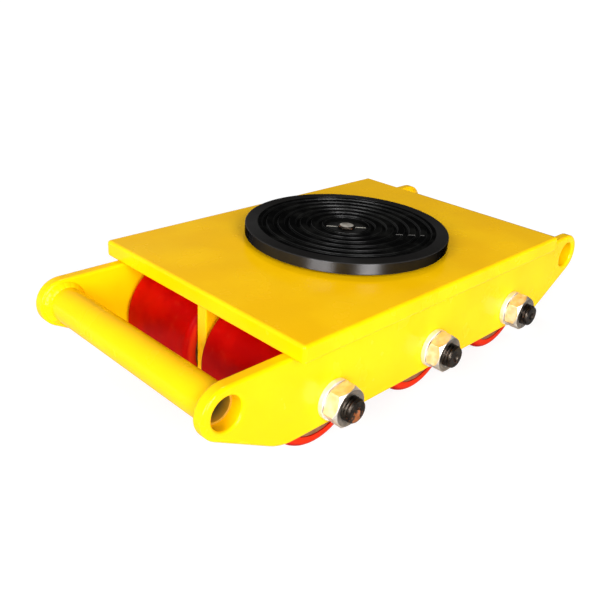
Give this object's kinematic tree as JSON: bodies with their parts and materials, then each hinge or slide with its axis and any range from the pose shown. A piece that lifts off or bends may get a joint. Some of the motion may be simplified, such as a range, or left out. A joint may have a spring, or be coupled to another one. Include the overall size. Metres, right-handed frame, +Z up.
{
  "type": "machine skate",
  "caption": "Low steel machine skate on rows of red polyurethane rollers, with a ribbed rubber turntable for the load and tube handles between its side plates.",
  "frame": {"origin": "on the floor under the middle axle, midway between the side plates", "axes": "+X along the travel towards the rear, the carrying handle is at -X; +Y along the axles to the right side; +Z up"},
  "size_m": [0.444, 0.237, 0.1142],
  "materials": {
    "yellow_enamel": "gloss enamel",
    "red_polyurethane": "cast, gloss",
    "black_rubber": "moulded",
    "black_steel": "black, gloss",
    "zinc_steel": "bright zinc",
    "black_oxide_steel": "black oxide",
    "turned_steel": "turned",
    "bearing_steel": "ground",
    "black_seal": "moulded",
    "bronze": "turned"
  },
  "bodies": {
    "frame": {"deck_plate": "yellow_enamel", "side_plate_left": "yellow_enamel", "side_plate_right": "yellow_enamel", "centre_plate": "yellow_enamel", "front_handle_tube": "yellow_enamel", "rear_tie_tube": "yellow_enamel", "weld_beads": "yellow_enamel", "axles": "black_oxide_steel", "axle_nuts": "zinc_steel", "axle_washers": "zinc_steel", "end_spacers": "turned_steel", "bearing_spacers": "turned_steel", "bearing_inner_rings": "bearing_steel", "pivot_post": "turned_steel", "pivot_washer": "black_oxide_steel", "pivot_bolt": "zinc_steel", "thrust_race_lower": "bearing_steel"},
    "turntable": {"turntable_disc": "black_steel", "turntable_pad": "black_rubber", "pivot_bush": "bronze", "thrust_race_upper": "bearing_steel", "thrust_cage": "bronze", "thrust_balls": "bearing_steel"},
    "roller_front_left": {"tread_front_left": "red_polyurethane", "core_front_left": "turned_steel", "outer_rings_front_left": "bearing_steel", "balls_front_left": "bearing_steel", "seals_front_left": "black_seal", "circlips_front_left": "black_oxide_steel"},
    "roller_front_right": {"tread_front_right": "red_polyurethane", "core_front_right": "turned_steel", "outer_rings_front_right": "bearing_steel", "balls_front_right": "bearing_steel", "seals_front_right": "black_seal", "circlips_front_right": "black_oxide_steel"},
    "roller_middle_left": {"tread_middle_left": "red_polyurethane", "core_middle_left": "turned_steel", "outer_rings_middle_left": "bearing_steel", "balls_middle_left": "bearing_steel", "seals_middle_left": "black_seal", "circlips_middle_left": "black_oxide_steel"},
    "roller_middle_right": {"tread_middle_right": "red_polyurethane", "core_middle_right": "turned_steel", "outer_rings_middle_right": "bearing_steel", "balls_middle_right": "bearing_steel", "seals_middle_right": "black_seal", "circlips_middle_right": "black_oxide_steel"},
    "roller_rear_left": {"tread_rear_left": "red_polyurethane", "core_rear_left": "turned_steel", "outer_rings_rear_left": "bearing_steel", "balls_rear_left": "bearing_steel", "seals_rear_left": "black_seal", "circlips_rear_left": "black_oxide_steel"},
    "roller_rear_right": {"tread_rear_right": "red_polyurethane", "core_rear_right": "turned_steel", "outer_rings_rear_right": "bearing_steel", "balls_rear_right": "bearing_steel", "seals_rear_right": "black_seal", "circlips_rear_right": "black_oxide_steel"}
  },
  "joints": [
    {"name": "turntable_turn", "type": "hinge", "parent": "frame", "child": "turntable", "pos_m": [0, 0, 0.104], "axis": [0, 0, 1], "continuous": true},
    {"name": "roller_front_left_spin", "type": "hinge", "parent": "frame", "child": "roller_front_left", "pos_m": [-0.112, -0.046, 0.0435], "axis": [0, 1, 0], "continuous": true},
    {"name": "roller_front_right_spin", "type": "hinge", "parent": "frame", "child": "roller_front_right", "pos_m": [-0.112, 0.046, 0.0435], "axis": [0, 1, 0], "continuous": true},
    {"name": "roller_middle_left_spin", "type": "hinge", "parent": "frame", "child": "roller_middle_left", "pos_m": [0, -0.046, 0.0435], "axis": [0, 1, 0], "continuous": true},
    {"name": "roller_middle_right_spin", "type": "hinge", "parent": "frame", "child": "roller_middle_right", "pos_m": [0, 0.046, 0.0435], "axis": [0, 1, 0], "continuous": true},
    {"name": "roller_rear_left_spin", "type": "hinge", "parent": "frame", "child": "roller_rear_left", "pos_m": [0.112, -0.046, 0.0435], "axis": [0, 1, 0], "continuous": true},
    {"name": "roller_rear_right_spin", "type": "hinge", "parent": "frame", "child": "roller_rear_right", "pos_m": [0.112, 0.046, 0.0435], "axis": [0, 1, 0], "continuous": true}
  ]
}
